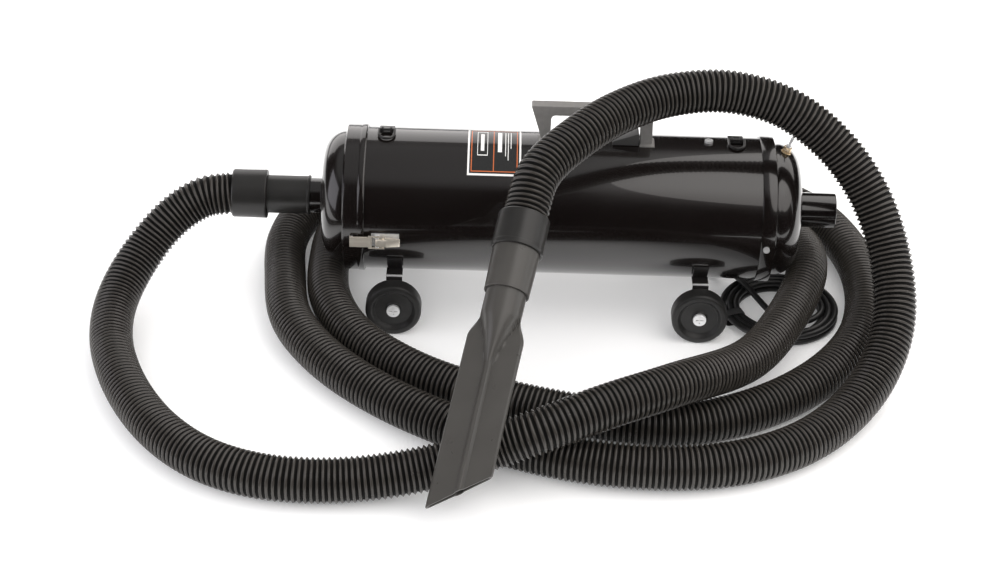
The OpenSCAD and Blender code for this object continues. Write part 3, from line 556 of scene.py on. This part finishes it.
# soft tie round the coil
ta = math.radians(200)
rad = Vector((math.cos(ta), math.sin(ta), 0))
tan = Vector((-math.sin(ta), math.cos(ta), 0))
c0 = Vector((COIL_C[0] * MM, COIL_C[1] * MM, 0))
loop = rounded([(43, 7), (43, 0.2), (64, 0.2), (64, 14.2), (43, 14.2), (43, 7)], [0, 5, 5, 5, 5, 0], 6)[:-1]
verts, faces = [], []
for w in (-5.5, -4.8, 4.8, 5.5):
    grow = 0.15 if abs(w) > 5 else 0.6
    for r, z in loop:
        rr = 53.5 + (r - 53.5) * (1 + grow / 10.5)
        zz = max(0.05, 7.2 + (z - 7.2) * (1 + grow / 7.0))
        verts.append(c0 + rad * (rr * MM) + tan * (w * MM) + Vector((0, 0, zz * MM)))
m_ = len(loop)
for i in range(3):
    for k in range(m_):
        l = (k + 1) % m_
        faces.append((i * m_ + k, i * m_ + l, (i + 1) * m_ + l, (i + 1) * m_ + k))
tie = new_object("cord_tie", verts, faces, M["gasket"], angle=60)

# ---------------------------------------------------------------- canister, caps and ports
casing = lathe("rolled_casing", [(74.5, -222.4), (76, -222.4), (76, 222.4), (74.5, 222.4)], M["enamel"],
               along_x(0), seg=256)
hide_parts("casing")
CAP_OUT = [(18.6, 255.6), (30, 255.5), (46, 255.0)]
for k in range(1, 13):
    a = math.radians(90 * (1 - k / 12))
    CAP_OUT.append((46 + 24.5 * math.cos(a), 231 + 24.2 * math.sin(a)))
CAP_OUT += [(70.5, 227.6), (71.3, 226.3), (72.4, 226.05), (76.6, 226), (77.7, 225.5), (78, 224.4)]
OUTLET_SKIRT = [(78, 211.8), (77.6, 211.1), (76.3, 211)]
INLET_SKIRT = [(78, 212), (78.3, 210.6), (78.7, 210), (78.7, 205.4), (78.4, 204.6), (77.8, 204), (76.3, 204)]
CAP_IN = [(76.3, 224.4), (69, 224.4), (68.9, 230)]
for k in range(0, 13):
    a = math.radians(90 * k / 12)
    CAP_IN.append((46 + 22.9 * math.cos(a), 231 + 22.7 * math.sin(a)))
CAP_IN += [(30, 254.0), (18.6, 254.0)]
flip = Matrix.Diagonal((-1, 1, 1, 1))
for side, cap, tube, cap_node, tube_node in (
        (1, "outlet_cap_shell", "outlet_pipe", "exhaust_cap", "outlet_tube"),
        (-1, "inlet_cap_shell", "inlet_pipe", "intake_cap", "inlet_tube")):
    where = along_x(0) if side == 1 else flip @ along_x(0)
    sink = 0.0 if side == 1 else 4.5
    profile = CAP_OUT + (OUTLET_SKIRT if side == 1 else INLET_SKIRT) + CAP_IN
    profile = [(r, z - sink if z > 229 else z) for r, z in profile]
    o = lathe(cap, profile, M["enamel"], where, seg=256, angle=50)
    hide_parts(cap_node)
    o = lathe(tube, [(16.9, 244), (18.5, 244), (18.5, 255.6 - sink), (20.4, 255.7 - sink), (19.4, 257.0 - sink),
                     (18.5, 257.8 - sink),
                     (18.5, 295.4), (18.1, 296), (17.2, 296), (16.9, 295.6)], M["enamel"], where, seg=128,
              radii=[0, 0, 0, 0.3, 0.8, 0.5, 0.3, 0.2, 0.2, 0.2], angle=40)
    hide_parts(tube_node)

# ---------------------------------------------------------------- handle and its fairing
side_view = place_axes((0, 0.0065, AXIS_H), (1, 0, 0), (0, 0, 1), (0, -1, 0))
outline = rounded([(-14, 76.2), (-20.3, 76.2), (-23.5, 88), (-32.6, 118.3), (-30.8, 119.3), (92, 119.3), (96, 116),
                   (95, 102.5), (95.4, 76.2), (83, 76.2), (81.5, 108.3), (-11.5, 108.3), (-12, 76.2)],
                  [0, 0, 0, 1.0, 1.0, 4, 3, 2, 0, 0, 6, 5, 0], 5)
grip = slab("cast_grip", outline, 13, M["cast"], side_view, bevel=2.6, segments=4)
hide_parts("handle")
pad_place = place_axes((0, 0, 0), (1, 0, 0), (0, 1, 0), (0, 0, 1))
for nm, x0, x1 in (("grip_foot_left", -24, -9), ("grip_foot_right", 82.2, 98)):
    verts, faces = [], []
    rows = 9
    for j in range(rows):
        y = -9.5 + 19 * j / (rows - 1)
        zc = 114 + math.sqrt(76.12 ** 2 - y * y)
        lip = 3.0 - 1.6 * (abs(y) / 9.5) ** 3
        for x in (x0, x0 + 1.2, x1 - 1.2, x1):
            top = lip if x0 < x < x1 else lip - 1.0
            verts.append((x * MM, y * MM, (zc + top) * MM))
        verts += [(x0 * MM, y * MM, zc * MM), (x1 * MM, y * MM, zc * MM)]
    for j in range(rows - 1):
        a, b = j * 6, (j + 1) * 6
        faces += [(a, a + 1, b + 1, b), (a + 1, a + 2, b + 2, b + 1), (a + 2, a + 3, b + 3, b + 2),
                  (a + 4, a, b, b + 4), (a + 3, a + 5, b + 5, b + 3), (a + 5, a + 4, b + 4, b + 5)]
    for a in (0, (rows - 1) * 6):
        faces.append((a + 4, a, a + 1, a + 2, a + 3, a + 5))
    o = new_object(nm, verts, faces, M["cast"], angle=40)

fair_view = place_axes((0, 0.0078, AXIS_H), (1, 0, 0), (0, 0, 1), (0, -1, 0))
fairing = slab("grip_fairing", rounded([(54, 76.2), (54, 80.5), (81.3, 90), (81.3, 76.2)], [0, 1.5, 1.5, 0], 4),
               15.6, M["fairing"], fair_view, bevel=1.2)
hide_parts("handle_fairing")

# ---------------------------------------------------------------- wheels
WHEEL = [(3.2, 3.6), (7.4, 3.4), (8.6, 4.8), (19.6, 4.8), (22.2, 1.4), (23.6, 0.2), (27.2, 0.1), (28.8, 0.9),
         (29.55, 2.8), (29.6, 9.5), (29.55, 16.2), (28.8, 18.1), (27.2, 18.9), (22, 18.9), (20, 15.5), (9, 15.5),
         (7.5, 18.9), (3.2, 18.9)]
for name, x, sign in (("wheel_front_left", -172, -1), ("wheel_front_right", 152, -1),
                      ("wheel_rear_left", -172, 1), ("wheel_rear_right", 152, 1)):
    where = place_axes((x * MM, sign * 0.0942, 0.0296), (1, 0, 0), (0, 0, 1), (0, -sign, 0))
    o = lathe(name + "_tyre", WHEEL, M["wheel"], where, body=name, seg=96,
              radii=[0, 0.4, 0.8, 1.4, 1.0, 0.8, 0.6, 0.8, 0.6, 0, 0.6, 0.8, 0.6, 0.5, 0.5, 0.5, 0.5, 0],
              angle=50)
    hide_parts(name)

# bright zinc strip on the front edge of each bracket's shelf: a painted highlight where the bend catches the light
for name, x, sign in (("front_left", -172, -1), ("front_right", 152, -1), ("rear_left", -172, 1),
                      ("rear_right", 152, 1)):
    where = place_axes((x * MM, sign * 0.0736, 0.0608), (1, 0, 0), (0, -sign, 0), (0, 0, 1))
    o = slab("bracket_painted_highlight_" + name, [(-8.4, -1.3), (8.4, -1.3), (8.4, 1.3), (-8.4, 1.3)], 1.6, M["zinc"], where,
             bevel=0.4)

# ---------------------------------------------------------------- latches
for deg, end in ((185, "front"), (-5, "rear")):
    base = outward(0, deg)
    # lever: a folded strip that widens toward its finger end
    prof = rounded([(-192.2, 3.2), (-191, 7.4), (-180, 8.1), (-166.2, 6.3), (-165.8, 4.9), (-176, 3.2),
                    (-189, 2.0)], [0, 1.2, 2, 0.5, 0.5, 1, 0], 4)
    m_side = base @ place_axes((0, 0.0047, 0), (1, 0, 0), (0, 0, 1), (0, -1, 0))
    lever = slab("latch_%s_handle" % end, prof, 9.4, M["nickel"], m_side,
                 body="latch_%s_lever" % end, bevel=0.9, segments=3)
    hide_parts("latch_%s_lever" % end)
    # bail: a convex cover with an inward lip and two side arms
    verts, faces = [], []
    cols = 13
    xs = [-218.6, -218.2, -217.2, -212, -206, -200, -197.2, -196.6]
    for x in xs:
        edge = 0.5 if x in (xs[0], xs[-1]) else 0.0
        for c in range(cols):
            w = -6.2 + 12.4 * c / (cols - 1)
            h = 6.9 - 1.5 * (w / 6.2) ** 2 - edge
            verts.append(base @ (Vector((x, w, h)) * MM))
    nrow = len(xs)
    for x in xs:
        for c in range(cols):
            w = -6.2 + 12.4 * c / (cols - 1)
            h = 5.3 - 0.25 * (w / 6.2) ** 2
            verts.append(base @ (Vector((x, w, h)) * MM))
    off = nrow * cols
    for i in range(nrow - 1):
        for c in range(cols - 1):
            q = (i * cols + c, i * cols + c + 1, (i + 1) * cols + c + 1, (i + 1) * cols + c)
            faces.append(q)
            faces.append(tuple(off + v for v in reversed(q)))
    for i in range(nrow - 1):
        for c in (0, cols - 1):
            faces.append((i * cols + c, (i + 1) * cols + c, off + (i + 1) * cols + c, off + i * cols + c))
    for i in (0, nrow - 1):
        for c in range(cols - 1):
            faces.append((i * cols + c, i * cols + c + 1, off + i * cols + c + 1, off + i * cols + c))
    cover = new_object("latch_%s_cover" % end, verts, faces, M["nickel"], "latch_%s_bail" % end, angle=48)
    for s in nodes["latch_%s_bail" % end].material_slots:
        s.material = M["nickel"]

# ---------------------------------------------------------------- label, without lettering
def patch(name, x0, x1, a0, a1, lift, mat):
    cols = 2
    rows_ = max(2, int(abs(a1 - a0) / 1.5))
    verts, faces = [], []
    for j in range(rows_ + 1):
        a = math.radians(a0 + (a1 - a0) * j / rows_)
        for x in (x0, x1):
            r = (76.1 + lift) * MM
            verts.append((x * MM, r * math.cos(a), AXIS_H + r * math.sin(a)))
    for j in range(rows_):
        faces.append((2 * j, 2 * j + 1, 2 * j + 3, 2 * j + 2))
    return verts, faces, mat


def patches(name, items):
    verts, faces, mats, idx = [], [], [], []
    for x0, x1, a0, a1, lift, key in items:
        v, f, _ = patch(name, x0, x1, a0, a1, lift, key)
        if key not in mats:
            mats.append(key)
        base = len(verts)
        verts += v
        for q in f:
            faces.append(tuple(base + i for i in q))
            idx.append(mats.index(key))
    me = bpy.data.meshes.new(name)
    me.from_pydata(verts, [], faces)
    for key in mats:
        me.materials.append(M[key])
    for p, i in zip(me.polygons, idx):
        p.material_index = i
        p.use_smooth = True
    ob_ = bpy.data.objects.new(name, me)
    scene.collection.objects.link(ob_)
    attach(ob_, "canister")
    return ob_


items = [(-98, -42, 73, 130, 0.10, "label_white"), (-96, -44, 74.6, 128.2, 0.16, "label_black"),
         (-94.4, -93.4, 76, 126.8, 0.2, "label_orange"), (-46.6, -45.6, 76, 126.8, 0.2, "label_orange"),
         (-94.4, -45.6, 126.0, 126.8, 0.2, "label_orange"), (-94.4, -45.6, 76, 76.8, 0.2, "label_orange"),
         (-71.2, -70.2, 76, 126.8, 0.2, "label_orange"),
         (-88, -77, 111.0, 111.9, 0.2, "label_white"), (-88, -77, 79, 79.9, 0.2, "label_white"),
         (-88, -87.4, 79, 111.9, 0.2, "label_white"), (-77.6, -77, 79, 111.9, 0.2, "label_white"),
         (-84.4, -80.8, 84, 107, 0.2, "label_white"),
         (-66.5, -62.2, 80, 108, 0.2, "label_white"), (-58.8, -58.0, 80, 112, 0.2, "label_white"),
         (-56.0, -55.2, 80, 116, 0.2, "label_white"), (-53.2, -52.4, 80, 104, 0.2, "label_white")]
label = patches("generic_label", items)
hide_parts("label_plate")

# ---------------------------------------------------------------- floor and light
fl = bpy.data.materials.new("pale_floor")
fl.use_nodes = True
fb = fl.node_tree.nodes["Principled BSDF"]
fb.inputs["Base Color"].default_value = (0.93, 0.93, 0.93, 1)
fb.inputs["Roughness"].default_value = 0.7
fb.inputs["Emission Color"].default_value = (1, 1, 1, 1)
fb.inputs["Emission Strength"].default_value = 0.14
me = bpy.data.meshes.new("floor")
me.from_pydata([(-3, -0.5, 0), (3, -0.5, 0), (3, 4, 0), (-3, 4, 0)], [], [(0, 1, 2, 3)])
floor = bpy.data.objects.new("floor", me)
scene.collection.objects.link(floor)
me.materials.append(fl)

world = bpy.data.worlds.new("studio")
scene.world = world
world.use_nodes = True
wn = world.node_tree
bg = wn.nodes["Background"]
path_node = wn.nodes.new("ShaderNodeLightPath")
direction = wn.nodes.new("ShaderNodeTexCoord")
split = wn.nodes.new("ShaderNodeSeparateXYZ")
wn.links.new(direction.outputs["Generated"], split.inputs["Vector"])
ceiling = wn.nodes.new("ShaderNodeMapRange")
for key, value in (("From Min", 0.70), ("From Max", 0.86), ("To Min", 0.006), ("To Max", 0.32)):
    ceiling.inputs[key].default_value = value
wn.links.new(split.outputs["Z"], ceiling.inputs["Value"])
mix = wn.nodes.new("ShaderNodeMix")
mix.data_type = "FLOAT"
mix.inputs["A"].default_value = 0.9
wn.links.new(ceiling.outputs["Result"], mix.inputs["B"])
wn.links.new(path_node.outputs["Is Glossy Ray"], mix.inputs["Factor"])
mix2 = wn.nodes.new("ShaderNodeMix")
mix2.data_type = "FLOAT"
wn.links.new(path_node.outputs["Is Camera Ray"], mix2.inputs["Factor"])
wn.links.new(mix.outputs["Result"], mix2.inputs["A"])
mix2.inputs["B"].default_value = 1.0
wn.links.new(mix2.outputs["Result"], bg.inputs["Strength"])
bg.inputs["Color"].default_value = (1, 1, 1, 1)


def area(name, loc, target, size, power, shape="RECTANGLE", color=(1, 1, 1)):
    li = bpy.data.lights.new(name, "AREA")
    li.shape = shape
    li.size, li.size_y = size
    li.energy = power
    li.color = color
    ob_ = bpy.data.objects.new(name, li)
    scene.collection.objects.link(ob_)
    ob_.location = loc
    d = Vector(target) - Vector(loc)
    ob_.rotation_euler = d.to_track_quat("-Z", "Y").to_euler()
    return ob_


area("top_softbox", (1.62, -0.4, 1.6), (1.62, -0.4, 0), (3.0, 5.4), 60, "ELLIPSE", (1, 0.96, 0.93))
area("rear_card", (-1.0, 1.5, 0.98), (-1.0, 0, 0.98), (2.05, 1.45), 13, color=(1, 0.97, 0.96))
area("right_card", (1.8, -0.3, 0.5), (0.3, 0, 0.15), (0.9, 0.7), 3)
area("left_card", (-1.6, -0.7, 0.75), (-0.3, 0, 0.15), (1.6, 1.3), 9, color=(0.95, 0.93, 1))
fill = area("front_fill", (-0.8, -2.6, 1.9), (0, 0, 0.1), (1.2, 1.0), 16)
fill.visible_glossy = False
for ob_ in scene.objects:
    if ob_.type == "LIGHT":
        ob_.visible_camera = False
scene.view_settings.view_transform = "Standard"
scene.view_settings.look = "None"
